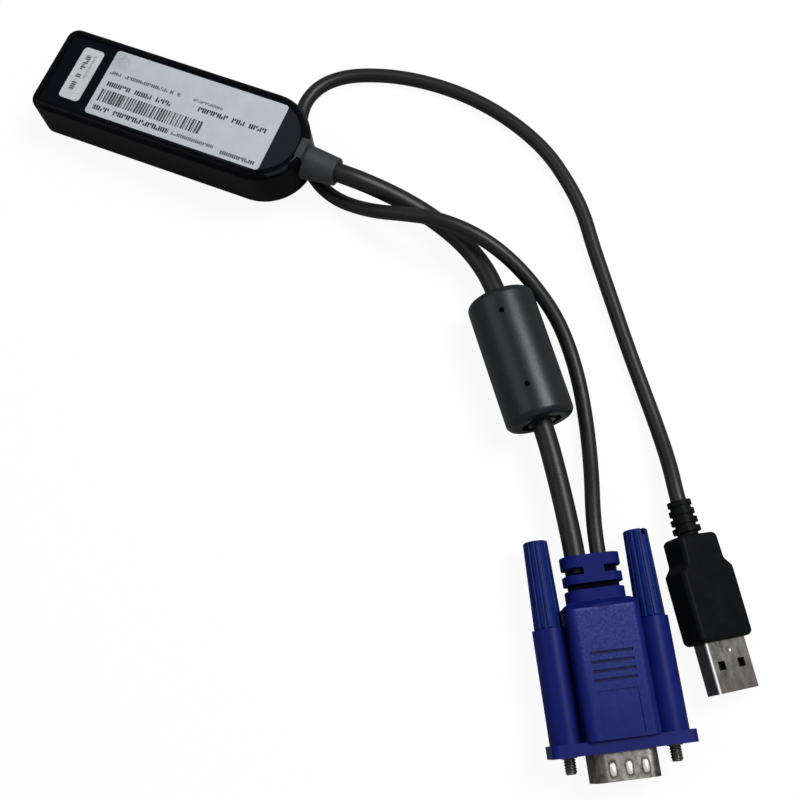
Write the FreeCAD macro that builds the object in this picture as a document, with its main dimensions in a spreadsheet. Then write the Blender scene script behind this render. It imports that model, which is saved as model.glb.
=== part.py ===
"""Console adapter: a small network-to-console interface case with an RJ45 jack,
a short video cable with a ferrite bead, a 15-pin video plug and a USB plug.

Millimetres, +Z up.  The case lies along X with the jack at -X, and the origin is
under the middle of the case.  The case leans on its jack end, because the thin
cable passes under its rounded nose.
"""
import FreeCAD, Part
import math
import os
import re

import Sketcher

doc = FreeCAD.newDocument("console_adapter")
sheet = doc.addObject("Spreadsheet::Sheet", "sizes")

SIZES = {
    # case, measured from its jack face along X
    "case_length": 78.5,
    "case_width": 27.0,
    "case_thick": 14.4,
    "split_height": 7.0,
    "wall": 1.6,
    "floor_thick": 1.4,
    "corner_round": 3.5,
    "cavity_round": 1.8,
    "top_round": 1.8,
    "bottom_round": 1.8,
    "case_tilt": 3.6,
    "recess_inset": 2.3,
    "recess_depth": 0.4,
    # printed labels in the recess
    "label_thick": 0.15,
    "main_label_start": 16.5,
    "main_label_end_gap": 9.4,
    "main_label_side_gap": 0.65,
    "main_label_round": 1.0,
    "small_label_start": 7.15,
    "label_gap": 3.05,
    "small_label_side_gap": 2.75,
    "small_label_round": 1.2,
    # network jack
    "jack_width": 15.9,
    "jack_height": 11.0,
    "jack_depth": 15.5,
    "jack_gap": 0.15,
    "shield_thick": 0.3,
    "mouth_width": 11.8,
    "mouth_height": 6.9,
    "mouth_depth": 12.6,
    "latch_width": 6.2,
    "latch_height": 1.5,
    "mouth_roof": 1.3,
    "contact_pitch": 1.02,
    "contact_thick": 0.4,
    "contact_drop": 2.4,
    # circuit board and what stands on it
    "board_thick": 1.2,
    "board_height": 4.4,
    "board_start": 3.0,
    "board_end_gap": 16.5,
    "board_side_gap": 0.5,
    "board_gap": 0.2,
    "post_radius": 1.6,
    "post_side": 9.2,
    "post_front": 21.5,
    "post_rear_gap": 20.0,
    "chip_share": 0.427,
    "chip_side": 14.0,
    "chip_thick": 1.4,
    "lead_width": 0.4,
    "lead_reach": 0.9,
    "lead_thick": 0.3,
    "lead_pitch": 1.2,
    "driver_share": 0.605,
    "driver_length": 6.2,
    "driver_width": 4.0,
    "driver_thick": 1.5,
    "crystal_length": 8.0,
    "crystal_width": 3.6,
    "crystal_thick": 3.2,
    "crystal_edge_gap": 7.1,
    "can_radius": 2.0,
    "can_height": 5.0,
    "can_front": 19.6,
    "can_pitch": 4.6,
    "header_end_gap": 23.5,
    "header_length": 5.0,
    "header_width": 12.0,
    "header_height": 4.4,
    "plug_length": 4.0,
    "plug_step": 0.8,
    "wire_radius": 0.45,
    "wire_spread": 2.2,
    "wire_gap": 0.2,
    # cable boot, in line with the split
    "boot_out": 8.3,
    "boot_root_radius": 4.8,
    "boot_end_radius": 3.8,
    "boot_neck_radius": 4.2,
    "boot_flange_radius": 4.9,
    "boot_flange_length": 2.2,
    "boot_seat": 1.0,
    "boot_gap": 0.1,
    "tab_width": 6.0,
    "tab_length": 2.1,
    # cables
    "video_cable_radius": 2.65,
    "usb_cable_radius": 1.97,
    "cable_gap": 0.1,
    # ferrite bead
    "bead_x": 100.73,
    "bead_y": -16.33,
    "bead_turn": -51.4,
    "bead_length": 35.8,
    "bead_radius": 8.95,
    "bead_round": 2.0,
    "core_radius": 7.1,
    "core_bore": 3.6,
    "core_length": 28.0,
    "core_gap": 0.1,
    "pin_hole_radius": 0.7,
    "pin_hole_first": 6.6,
    "pin_hole_second": 27.2,
    "pin_hole_side": 2.1,
    "ring_outer": 5.3,
    "ring_inner": 3.6,
    "ring_depth": 1.0,
    # video plug: x across, y back towards the cables, z up from the ground
    "video_x": 168.1,
    "video_y": -112.3,
    "video_turn": 29.25,
    "hood_thick": 16.0,
    "hood_body_half": 8.7,
    "hood_end": 35.4,
    "hood_round": 2.2,
    "panel_end": 33.4,
    "notch_half": 3.9,
    "notch_reach": 1.1,
    "notch_open": 1.4,
    "notch_depth": 1.5,
    "rib_half": 5.1,
    "rib_first": 16.3,
    "rib_pitch": 2.07,
    "rib_width": 0.7,
    "rib_depth": 0.4,
    "field_half": 4.8,
    "field_start": 4.2,
    "field_end": 14.3,
    "field_depth": 0.3,
    "flange_half": 17.0,
    "flange_height": 12.5,
    "flange_start": 0.7,
    "flange_end": 3.6,
    "flange_round": 1.5,
    "screw_side": 12.495,
    "barrel_radius": 4.05,
    "barrel_end": 30.1,
    "neck_half": 7.2,
    "neck_rise": 4.4,
    "neck_round": 3.6,
    "neck_base_end": 38.2,
    "disc_start": 39.7,
    "disc_end": 41.8,
    "cap_start": 43.6,
    "neck_end": 46.5,
    "neck_core_half": 6.3,
    "neck_core_rise": 2.4,
    "neck_core_round": 2.1,
    "neck_web_half": 2.5,
    "bore_depth": 5.0,
    "video_cable_side": -3.25,
    "usb_cable_side": 2.45,
    "cavity_half": 8.5,
    "cavity_rise": 4.7,
    "cavity_end": 20.0,
    "mould_gap": 0.3,
    "insulator_end": 3.0,
    "insulator_start": -1.0,
    "d_wide": 17.72,
    "d_height": 9.16,
    "d_slant": 10.0,
    "d_round": 2.6,
    "d_depth": 5.7,
    "d_wall": 0.4,
    "plate_start": 0.9,
    "plate_half": 15.4,
    "plate_rise": 5.2,
    "plate_gap": 0.1,
    "plate_thick": 0.6,
    "screw_hole_gap": 0.2,
    "pin_radius": 0.38,
    "pin_gap": 0.02,
    "pin_reach": 5.2,
    "pin_tail": 2.6,
    "pin_pitch": 2.29,
    "pin_row": 1.98,
    "pin_shift": 0.57,
    # thumbscrews
    "screw_radius": 1.42,
    "journal_radius": 1.9,
    "journal_start": 0.4,
    "screw_gap": 0.08,
    "screw_tip": 3.15,
    "screw_point": 0.4,
    "knob_radius": 3.5,
    "knob_end_radius": 3.0,
    "knob_length": 21.4,
    "knob_round": 0.5,
    "knob_bore": 12.0,
    "flute_radius": 0.4,
    "flute_sink": 0.18,
    "left_knob_turn": 90.0,
    "right_knob_turn": 25.0,
    "slot_width": 1.0,
    "slot_depth": 1.6,
    # USB plug: x across, y back towards the cable, z through the plug
    "usb_x": 181.5,
    "usb_y": -78.8,
    "usb_turn": 34.07,
    "usb_roll": 23.7,
    "grip_half": 8.0,
    "grip_thick": 8.0,
    "grip_corner": 1.5,
    "grip_round": 1.2,
    "grip_wide_end": 17.2,
    "grip_step_end": 19.3,
    "grip_narrow_half": 6.0,
    "grip_end_half": 5.8,
    "grip_end": 26.0,
    "relief_end": 35.0,
    "relief_core": 2.6,
    "relief_first": 3.5,
    "relief_last": 3.0,
    "relief_ring": 1.25,
    "shell_width": 12.0,
    "shell_height": 4.5,
    "shell_reach": 12.0,
    "shell_sunk": 4.0,
    "shell_wall": 0.35,
    "shell_gap": 0.05,
    "window_side": 3.0,
    "window_middle": 5.75,
    "window_size": 2.1,
    "tongue_thick": 1.8,
    "tongue_gap": 0.05,
    "tongue_reach": 11.4,
    "strip_width": 1.1,
    "strip_pitch": 2.4,
    "strip_thick": 0.15,
    "strip_length": 8.6,
}

# sizes that follow from the others
FORMULAS = {
    "main_label_end": "case_length - main_label_end_gap",
    "main_label_width": "case_width - 2 * recess_inset - 2 * main_label_side_gap",
    "small_label_end": "main_label_start - label_gap",
    "small_label_width": "case_width - 2 * recess_inset - 2 * small_label_side_gap",
    "board_width": "case_width - 2 * wall - 2 * board_side_gap",
    "board_end": "case_length - board_end_gap",
    "post_rear": "case_length - post_rear_gap",
    "chip_middle": "case_length * chip_share",
    "driver_middle": "case_length * driver_share",
    "header_start": "case_length - header_end_gap",
    "crystal_side": "case_width / 2 - crystal_edge_gap",
}

CELLS = dict(SIZES) | {alias: f"={text}" for alias, text in FORMULAS.items()}
for line, (alias, content) in enumerate(CELLS.items(), start=1):
    sheet.set(f"A{line}", alias)
    sheet.set(f"B{line}", str(content))
    sheet.setAlias(f"B{line}", alias)
doc.recompute()

ALIASES = re.compile(r"\b(" + "|".join(sorted(CELLS, key=len, reverse=True)) + r")\b")
SIDES = (("left", -1), ("right", 1))
CONTACT_COUNT = 8
RING_COUNT = 4
FLUTE_COUNT = 14
PIN_COUNT = 5
WIRE_COUNT = 5


def size(alias):
    """The value of one cell of the sheet."""
    return float(sheet.get(alias))


def bound(text):
    """A formula on the cells, as an expression on the sheet."""
    return ALIASES.sub(r"sizes.\1", str(text))


def turned(axis):
    """The rotation that lays a cylinder's own Z along the named axis."""
    if axis == "X":
        return FreeCAD.Rotation(FreeCAD.Vector(0, 1, 0), 90)
    if axis == "Y":
        return FreeCAD.Rotation(FreeCAD.Vector(1, 0, 0), -90)
    return FreeCAD.Rotation()


class Piece:
    """One sub-part: a PartDesign body whose features are bound to the sheet."""

    def __init__(self, label):
        self.body = doc.addObject("PartDesign::Body", label)
        self.body.Label = label
        self.body.AllowCompound = True
        self.label = label
        self.made = 0

    def feature(self, kind, formulas=None, at=None, turn=None):
        self.made += 1
        made = self.body.newObject("PartDesign::" + kind, f"{self.label}_{self.made}")
        if turn is not None:
            made.Placement = FreeCAD.Placement(FreeCAD.Vector(), turn)
        for name, text in (formulas or {}).items():
            made.setExpression(name, bound(text))
        for letter, text in zip("xyz", at or ()):
            made.setExpression(f"Placement.Base.{letter}", bound(text))
        return made

    def box(self, x, y, z, cut=False, turn=None):
        """A block given by its (low, high) formulas on each axis."""
        formulas = {
            "Length": f"({x[1]}) - ({x[0]})",
            "Width": f"({y[1]}) - ({y[0]})",
            "Height": f"({z[1]}) - ({z[0]})",
        }
        kind = "SubtractiveBox" if cut else "AdditiveBox"
        return self.feature(kind, formulas, (x[0], y[0], z[0]), turn)

    def rod(self, axis, radius, at, length, cut=False, end_radius=None):
        """A cylinder, or a cone where end_radius is given, from a point along an axis."""
        formulas = {"Height": length}
        if end_radius is None:
            kind = "Cylinder"
            formulas["Radius"] = radius
        else:
            kind = "Cone"
            formulas["Radius1"] = radius
            formulas["Radius2"] = end_radius
        kind = ("Subtractive" if cut else "Additive") + kind
        return self.feature(kind, formulas, at, turned(axis))

    def origin(self, role):
        """The body's own plane or axis with that role."""
        return next(item for item in self.body.Origin.OriginFeatures if item.Role == role)

    def outline(self, role, corners, height="0"):
        """A closed sketch of straight lines, each corner bound by two formulas."""
        self.made += 1
        sketch = self.body.newObject("Sketcher::SketchObject", f"{self.label}_sketch_{self.made}")
        sketch.AttachmentSupport = [(self.origin(role), "")]
        sketch.MapMode = "FlatFace"
        sketch.setExpression("AttachmentOffset.Base.z", bound(height))
        count = len(corners)
        start = [
            FreeCAD.Vector(math.cos(2 * math.pi * i / count), math.sin(2 * math.pi * i / count), 0)
            for i in range(count)
        ]
        for i in range(count):
            sketch.addGeometry(Part.LineSegment(start[i], start[(i + 1) % count]))
        for i in range(count):
            sketch.addConstraint(Sketcher.Constraint("Coincident", i, 2, (i + 1) % count, 1))
        for i, corner in enumerate(corners):
            for kind, text in zip(("DistanceX", "DistanceY"), corner):
                number = sketch.addConstraint(Sketcher.Constraint(kind, -1, 1, i, 1, 1.0))
                sketch.renameConstraint(number, f"{kind}{i}")
                sketch.setExpression(f"Constraints.{kind}{i}", bound(text))
        return sketch

    def pad(self, sketch, length, middle=False, back=False):
        made = self.feature("Pad", {"Length": length})
        made.Profile = sketch
        made.Midplane = middle
        made.Reversed = back
        return made

    def pocket(self, sketch, length, middle=False, back=False):
        made = self.feature("Pocket", {"Length": length})
        made.Profile = sketch
        made.Midplane = middle
        made.Reversed = back
        return made

    def row(self, originals, axis, length, count):
        """A row of copies along one of the body's own axes."""
        made = self.feature("LinearPattern", {"Length": length})
        made.Originals = originals
        made.Direction = (self.origin(axis), [""])
        made.Occurrences = count
        self.body.Tip = made
        return made

    def ring(self, originals, axis, count):
        """Copies spread evenly round one of the body's own axes."""
        made = self.feature("PolarPattern")
        made.Originals = originals
        made.Axis = (self.origin(axis), [""])
        made.Angle = 360
        made.Occurrences = count
        self.body.Tip = made
        return made

    def round(self, wanted, radius):
        """Round the edges of the solid so far that pass the test."""
        doc.recompute()
        base = self.body.Tip
        names = [f"Edge{i}" for i, edge in enumerate(base.Shape.Edges, start=1) if wanted(edge)]
        if not names:
            raise ValueError(f"{self.label}: no edge to round")
        made = self.feature("Fillet", {"Radius": radius})
        made.Base = (base, names)
        return made

    def place(self, placement):
        self.body.Placement = placement
        return self.body


def near(a, b):
    return abs(a - b) < 1e-4


def upright(edge):
    """Is this edge a straight one along Z?"""
    box = edge.BoundBox
    return box.XLength < 1e-6 and box.YLength < 1e-6


def lengthwise(edge):
    """Is this edge a straight one along Y?"""
    box = edge.BoundBox
    return box.XLength < 1e-6 and box.ZLength < 1e-6


def level(height):
    """A test for edges that lie at one height."""
    return lambda edge: near(edge.BoundBox.ZMin, height) and near(edge.BoundBox.ZMax, height)


# Case

def bullet(piece, inset, low, high, cut=False):
    """The case's plan outline, moved in by inset: a block with a half-round nose."""
    half = f"case_width / 2 - ({inset})"
    nose = "case_length - case_width / 2"
    parts = [
        piece.box((inset, nose), (f"-({half})", half), (low, high), cut),
        piece.rod("Z", half, (nose, "0", low), f"({high}) - ({low})", cut),
    ]
    return parts


def at_jack_corner(inset):
    """A test for the two upright edges at the jack end, moved in by inset."""
    half = size("case_width") / 2 - inset

    def wanted(edge):
        middle = edge.BoundBox.Center
        return upright(edge) and near(middle.x, inset) and near(abs(middle.y), half)

    return wanted


def case_openings(piece):
    """The jack's mouth in the end wall and the boot's stepped hole in the nose."""
    low = "(case_thick - jack_height) / 2 - jack_gap"
    half = "jack_width / 2 + jack_gap"
    piece.box(("-1", "wall + 1"), (f"-({half})", half), (low, f"case_thick - ({low})"), cut=True)
    piece.rod("X", "boot_neck_radius + boot_gap", ("case_length - wall - 2", "0", "split_height"),
              "wall + 4", cut=True)
    piece.rod("X", "boot_root_radius + boot_gap", ("case_length - boot_seat", "0", "split_height"),
              "boot_seat + 2", cut=True)


def lower_case():
    piece = Piece("lower_case")
    bullet(piece, "0", "0", "split_height")
    piece.round(at_jack_corner(0), "corner_round")
    piece.round(level(0), "bottom_round")
    bullet(piece, "wall", "floor_thick", "split_height + 1", cut=True)
    piece.round(at_jack_corner(size("wall")), "cavity_round")
    case_openings(piece)
    for along in ("post_front", "post_rear"):
        for _, side in SIDES:
            piece.rod("Z", "post_radius", (along, f"{side} * post_side", "floor_thick - 0.2"),
                      "board_height - floor_thick + 0.2")
    return piece


def upper_case():
    piece = Piece("upper_case")
    bullet(piece, "0", "split_height", "case_thick")
    piece.round(at_jack_corner(0), "corner_round")
    piece.round(level(size("case_thick")), "top_round")
    bullet(piece, "wall", "split_height - 1", "case_thick - floor_thick", cut=True)
    piece.round(at_jack_corner(size("wall")), "cavity_round")
    case_openings(piece)
    bullet(piece, "recess_inset", "case_thick - recess_depth", "case_thick + 1", cut=True)
    piece.box(("case_length - recess_inset", "case_length + 1"),
              ("-tab_width / 2 - boot_gap", "tab_width / 2 + boot_gap"),
              ("split_height", "case_thick + 1"), cut=True)
    for along in ("post_front", "post_rear"):
        for _, side in SIDES:
            piece.rod("Z", "post_radius", (along, f"{side} * post_side", "board_height + board_thick"),
                      "case_thick - floor_thick - board_height - board_thick + 0.2")
    return piece


def label(name):
    """A sheet label stuck on the floor of the recess."""
    piece = Piece(f"{name}_label")
    piece.box((f"{name}_label_start", f"{name}_label_end"),
              (f"-{name}_label_width / 2", f"{name}_label_width / 2"),
              ("case_thick - recess_depth", "case_thick - recess_depth + label_thick"))
    piece.round(upright, f"{name}_label_round")
    return piece


# Jack

JACK_LOW = "(case_thick - jack_height) / 2"
MOUTH_TOP = f"{JACK_LOW} + jack_height - mouth_roof"


def jack_housing():
    piece = Piece("jack_housing")
    inner = "jack_width / 2 - shield_thick"
    piece.box(("0", "jack_depth - shield_thick"), (f"-({inner})", inner),
              (JACK_LOW, f"{JACK_LOW} + jack_height - shield_thick"))
    piece.box(("-1", "mouth_depth"), ("-mouth_width / 2", "mouth_width / 2"),
              (f"{MOUTH_TOP} - mouth_height", MOUTH_TOP), cut=True)
    piece.box(("-1", "mouth_depth"), ("-latch_width / 2", "latch_width / 2"),
              (f"{MOUTH_TOP} - mouth_height - latch_height", MOUTH_TOP), cut=True)
    return piece


def jack_shield():
    """A folded sheet over the housing's top, sides and back."""
    piece = Piece("jack_shield")
    half = "jack_width / 2"
    inner = "jack_width / 2 - shield_thick"
    piece.box(("0", "jack_depth"), (f"-{half}", half), (JACK_LOW, f"{JACK_LOW} + jack_height"))
    piece.box(("-1", "jack_depth - shield_thick"), (f"-({inner})", inner),
              (f"{JACK_LOW} - 1", f"{JACK_LOW} + jack_height - shield_thick"), cut=True)
    return piece


def jack_contacts():
    """Eight sprung wires that slope down into the mouth from its roof."""
    piece = Piece("jack_contacts")
    low_end = f"{MOUTH_TOP} - contact_drop"
    sketch = piece.outline("XZ_Plane", [
        ("2", MOUTH_TOP),
        ("2 + contact_thick", MOUTH_TOP),
        ("mouth_depth - 2", f"{low_end} + contact_thick"),
        ("mouth_depth - 2", low_end),
        ("mouth_depth - 2 - contact_thick", low_end),
    ], "contact_pitch * 3.5")
    first = piece.pad(sketch, "contact_thick", middle=True)
    piece.row([first], "Y_Axis", f"contact_pitch * {CONTACT_COUNT - 1}", CONTACT_COUNT)
    return piece


# Board

BOARD_TOP = "board_height + board_thick"


def circuit_board():
    piece = Piece("circuit_board")
    piece.box(("board_start", "board_end"), ("-board_width / 2", "board_width / 2"),
              ("board_height", BOARD_TOP))
    half = "jack_width / 2 + board_gap"
    piece.box(("0", "jack_depth + board_gap"), (f"-({half})", half),
              ("board_height - 1", f"{BOARD_TOP} + 1"), cut=True)
    return piece


def leads(piece, middle, half_x, half_y, count, along):
    """Two facing rows of short flat leads on a chip's sides."""
    span = f"lead_pitch * {count - 1}"
    made = []
    for side in (-1, 1):
        if along == "X":
            x = (f"{middle} - {span} / 2 - lead_width / 2", f"{middle} - {span} / 2 + lead_width / 2")
            edge = f"{side} * ({half_y})"
            y = (f"{edge} - lead_reach", f"{edge} + lead_reach")
        else:
            y = (f"-{span} / 2 - lead_width / 2", f"-{span} / 2 + lead_width / 2")
            edge = f"{middle} + {side} * ({half_x})"
            x = (f"{edge} - lead_reach", f"{edge} + lead_reach")
        made.append(piece.box(x, y, (BOARD_TOP, f"{BOARD_TOP} + lead_thick")))
    piece.row(made, f"{along}_Axis", span, count)


def processor_chip():
    piece = Piece("processor_chip")
    half = "chip_side / 2"
    piece.box((f"chip_middle - {half}", f"chip_middle + {half}"), (f"-{half}", half),
              (BOARD_TOP, f"{BOARD_TOP} + chip_thick"))
    leads(piece, "chip_middle", half, half, 10, "X")
    leads(piece, "chip_middle", half, half, 10, "Y")
    return piece


def video_driver_chip():
    piece = Piece("video_driver_chip")
    piece.box(("driver_middle - driver_length / 2", "driver_middle + driver_length / 2"),
              ("-driver_width / 2", "driver_width / 2"),
              (BOARD_TOP, f"{BOARD_TOP} + driver_thick"))
    leads(piece, "driver_middle", "driver_length / 2", "driver_width / 2", 4, "X")
    return piece


def crystal():
    """A flat metal can with half-round ends."""
    piece = Piece("crystal")
    straight = "(crystal_length - crystal_width) / 2"
    piece.box((f"driver_middle - {straight}", f"driver_middle + {straight}"),
              ("crystal_side - crystal_width / 2", "crystal_side + crystal_width / 2"),
              (BOARD_TOP, f"{BOARD_TOP} + crystal_thick"))
    for _, side in SIDES:
        piece.rod("Z", "crystal_width / 2",
                  (f"driver_middle + {side} * {straight}", "crystal_side", BOARD_TOP),
                  "crystal_thick")
    return piece


def capacitors():
    """Three tinned cans behind the jack."""
    piece = Piece("capacitors")
    first = piece.rod("Z", "can_radius", ("can_front", "-can_pitch", BOARD_TOP), "can_height")
    piece.row([first], "Y_Axis", "2 * can_pitch", 3)
    return piece


def cable_header():
    piece = Piece("cable_header")
    piece.box(("header_start", "header_start + header_length"),
              ("-header_width / 2", "header_width / 2"),
              (BOARD_TOP, f"{BOARD_TOP} + header_height"))
    return piece


def header_plug():
    piece = Piece("header_plug")
    start = "header_start + header_length"
    piece.box((start, f"{start} + plug_length"),
              ("-header_width / 2 + plug_step", "header_width / 2 - plug_step"),
              (BOARD_TOP, f"{BOARD_TOP} + header_height - plug_step"))
    return piece


def inner_wires(frame):
    """Insulated wires that run from the header plug and gather at the cable."""
    start = size("header_start") + size("header_length") + size("plug_length") + size("wire_gap")
    end = size("case_length") - size("wall") - size("boot_flange_length") - size("boot_seat")
    height = size("split_height")
    gathered = size("video_cable_radius") - size("wire_radius")
    spread = size("wire_spread") * 2
    solids = []
    for i in range(WIRE_COUNT):
        share = 2 * i / (WIRE_COUNT - 1) - 1
        here = FreeCAD.Vector(start, share * spread, height)
        there = FreeCAD.Vector(end, share * gathered, height)
        solids.append(Part.makeCylinder(size("wire_radius"), (there - here).Length, here, there - here))
    wires = doc.addObject("Part::Feature", "inner_wires")
    wires.Label = "inner_wires"
    wires.Shape = Part.makeCompound(solids)
    wires.Placement = frame
    return wires


def cable_boot():
    """A tapered boot, its neck and flange held in the nose, and its locking tab."""
    piece = Piece("cable_boot")
    seat = "case_length - boot_seat"
    flange = "case_length - wall - boot_seat - boot_flange_length - boot_gap"
    piece.rod("X", "boot_flange_radius", (flange, "0", "split_height"), "boot_flange_length")
    piece.rod("X", "boot_neck_radius", (flange, "0", "split_height"),
              f"{seat} - ({flange}) + 0.1")
    piece.rod("X", "boot_root_radius", (seat, "0", "split_height"), "boot_seat + boot_out",
              end_radius="boot_end_radius")
    piece.box(("case_length - recess_inset + boot_gap", "case_length - recess_inset + tab_length"),
              ("-tab_width / 2", "tab_width / 2"), ("split_height", "case_thick - recess_depth"))
    piece.rod("X", "video_cable_radius + cable_gap", (f"{flange} - 1", "0", "split_height"),
              "boot_out + wall + boot_seat + boot_flange_length + 3", cut=True)
    return piece


def case_frame():
    """The case leans on its jack end's lower edge, and stays over the origin."""
    tilt = math.radians(size("case_tilt"))
    half = size("case_length") / 2
    low, top = size("bottom_round"), size("top_round")
    lean_left = ((half - top) * math.cos(tilt) + (size("case_thick") - top) * math.sin(tilt) + top)
    lean_right = (half - low) * math.cos(tilt) - low * math.sin(tilt) + low
    lift = (half - low) * math.sin(tilt) - low * math.cos(tilt) + low
    lean = FreeCAD.Rotation(FreeCAD.Vector(0, 1, 0), -size("case_tilt"))
    middle = FreeCAD.Vector((lean_left - lean_right) / 2, 0, lift)
    return FreeCAD.Placement(middle + lean.multVec(FreeCAD.Vector(-half, 0, 0)), lean)


# Ferrite bead

def bead_frame():
    """Local X runs along the bead, away from the case."""
    return FreeCAD.Placement(FreeCAD.Vector(size("bead_x"), size("bead_y"), size("bead_radius")),
                             FreeCAD.Rotation(FreeCAD.Vector(0, 0, 1), size("bead_turn")))


def ferrite_core():
    piece = Piece("ferrite_core")
    start = "(bead_length - core_length) / 2"
    piece.rod("X", "core_radius", (start, "0", "0"), "core_length")
    piece.rod("X", "core_bore", (f"{start} - 1", "0", "0"), "core_length + 2", cut=True)
    return piece


def ferrite_cover():
    """A moulded sleeve with round ends, two mould-pin holes and a ring groove."""
    piece = Piece("ferrite_cover")
    piece.rod("X", "bead_radius", ("0", "0", "0"), "bead_length")
    piece.round(lambda edge: edge.Curve.TypeId == "Part::GeomCircle", "bead_round")
    start = "(bead_length - core_length) / 2 - core_gap"
    piece.rod("X", "core_radius + core_gap", (start, "0", "0"), "core_length + 2 * core_gap", cut=True)
    piece.rod("X", "ring_outer", ("bead_length - ring_depth", "0", "0"), "ring_depth + 1", cut=True)
    piece.rod("X", "ring_inner", ("bead_length - ring_depth - 0.2", "0", "0"), "ring_depth + 0.2")
    piece.rod("X", "video_cable_radius + cable_gap", ("-1", "0", "0"), "bead_length + 2", cut=True)
    for along in ("pin_hole_first", "pin_hole_second"):
        piece.rod("Z", "pin_hole_radius", (along, "-pin_hole_side", "core_radius - 1"),
                  "bead_radius", cut=True)
    return piece


# Video plug

def video_frame():
    return FreeCAD.Placement(FreeCAD.Vector(size("video_x"), size("video_y"), size("hood_thick") / 2),
                             FreeCAD.Rotation(FreeCAD.Vector(0, 0, 1), size("video_turn")))


def block(piece, half_x, y, half_z, cut=False):
    """A block about the plug's own axis."""
    return piece.box((f"-({half_x})", half_x), y, (f"-({half_z})", half_z), cut)


def hood_top_marks(piece):
    """The centre notch, grip ribs and plain sunk field, on both broad faces."""
    for side in (-1, 1):
        face = f"{side} * hood_thick / 2"
        deep = f"{face} - {side} * rib_depth"
        low, high = (deep, face) if side > 0 else (face, deep)
        start, end = ("hood_thick / 2 - notch_depth", "hood_thick / 2 + 1")
        if side < 0:
            start, end = (f"-({end})", f"-({start})")
        valley = piece.outline("XY_Plane", [
            ("-notch_half", "panel_end + notch_open"),
            ("0", "panel_end - notch_reach"),
            ("notch_half", "panel_end + notch_open"),
        ], start)
        piece.pocket(valley, "notch_depth + 1", back=True)
        rib = piece.box(("-rib_half", "rib_half"), ("rib_first", "rib_first + rib_width"),
                        (low, high), cut=True)
        piece.row([rib], "Y_Axis", "3 * rib_pitch", 4)
        sunk = f"{face} - {side} * field_depth"
        low, high = (sunk, face) if side > 0 else (face, sunk)
        piece.box(("-field_half", "field_half"), ("field_start", "field_end"), (low, high), cut=True)


def body_edge(edge):
    """Is this one of the hood body's long edges, or an upright one at its rear?"""
    middle = edge.BoundBox.Center
    at_side = near(abs(middle.x), size("hood_body_half"))
    at_face = lengthwise(edge) and near(abs(middle.z), size("hood_thick") / 2)
    at_rear = upright(edge) and near(middle.y, size("hood_end"))
    return at_side and (at_face or at_rear)


def slope(piece, side):
    """Cut the rear of the body's top or bottom face down to the neck."""
    face = f"{side} * hood_thick / 2"
    piece.pocket(piece.outline("YZ_Plane", [
        ("panel_end", face),
        ("panel_end", f"{face} + {side}"),
        ("hood_end + 1", f"{face} + {side}"),
        ("hood_end + 1", f"{side} * neck_rise"),
        ("hood_end", f"{side} * neck_rise"),
    ]), "2 * hood_body_half + 2", middle=True)


def vga_hood():
    piece = Piece("video_hood")
    neck(piece)
    block(piece, "hood_body_half", ("flange_end - 0.1", "hood_end"), "hood_thick / 2")
    piece.round(body_edge, "hood_round")
    for side in (-1, 1):
        slope(piece, side)
    hood_top_marks(piece)
    for _, side in SIDES:
        piece.rod("Y", "barrel_radius", (f"{side} * screw_side", "flange_end - 0.1", "0"),
                  "barrel_end - flange_end + 0.1")
    flange(piece)
    block(piece, "plate_half + plate_gap", ("0", "plate_start + plate_thick"),
          "plate_rise + plate_gap", cut=True)
    block(piece, "cavity_half", ("0", "cavity_end"), "cavity_rise", cut=True)
    for _, side in SIDES:
        piece.rod("Y", "journal_radius + screw_gap", (f"{side} * screw_side", "0", "0"),
                  "barrel_end + 1", cut=True)
    for name in ("video", "usb"):
        piece.rod("Y", f"{name}_cable_radius + cable_gap",
                  (f"{name}_cable_side", "neck_end - bore_depth", "0"), "bore_depth + 1", cut=True)
    return piece


def corner_edge(half_x, half_z):
    """A test for a block's lengthwise edges at one corner size."""
    def wanted(edge):
        middle = edge.BoundBox.Center
        return (lengthwise(edge) and near(abs(middle.x), half_x)
                and near(abs(middle.z), half_z))
    return wanted


def neck(piece):
    """The ribbed neck that the two cables leave by."""
    block(piece, "neck_core_half", ("hood_end - 1", "neck_end - 0.3"), "neck_core_rise")
    piece.round(corner_edge(size("neck_core_half"), size("neck_core_rise")), "neck_core_round")
    block(piece, "neck_half", ("hood_end - 1", "neck_base_end"), "neck_rise")
    block(piece, "neck_half", ("disc_start", "disc_end"), "neck_rise")
    block(piece, "neck_half", ("cap_start", "neck_end"), "neck_rise")
    piece.round(corner_edge(size("neck_half"), size("neck_rise")), "neck_round")
    block(piece, "neck_web_half", ("disc_end - 0.1", "cap_start + 0.1"), "neck_rise")


def flange(piece):
    """The broad front that the plug's plate sits in."""
    block(piece, "flange_half", ("flange_start", "flange_end"), "flange_height / 2")
    piece.round(corner_edge(size("flange_half"), size("flange_height") / 2), "flange_round")


def d_corners(inset):
    """The D outline, moved in by inset: the narrow side is up."""
    slope = "tan(d_slant * 1 deg)"
    lean = "cos(d_slant * 1 deg)"
    half = f"(d_height / 2 - ({inset}))"
    wide = f"(d_wide / 2 - ({inset}) / {lean} - ({inset}) * {slope})"
    narrow = f"({wide} - 2 * {half} * {slope})"
    return [
        (f"-{wide}", f"-{half}"),
        (wide, f"-{half}"),
        (narrow, half),
        (f"-{narrow}", half),
    ]


def d_block(piece, inset, start, end, cut=False):
    """A D-shaped length of the plug between two places along Y."""
    sketch = piece.outline("XZ_Plane", d_corners(inset), f"-({end})")
    make = piece.pocket if cut else piece.pad
    return make(sketch, f"({end}) - ({start})", back=cut)


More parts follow.
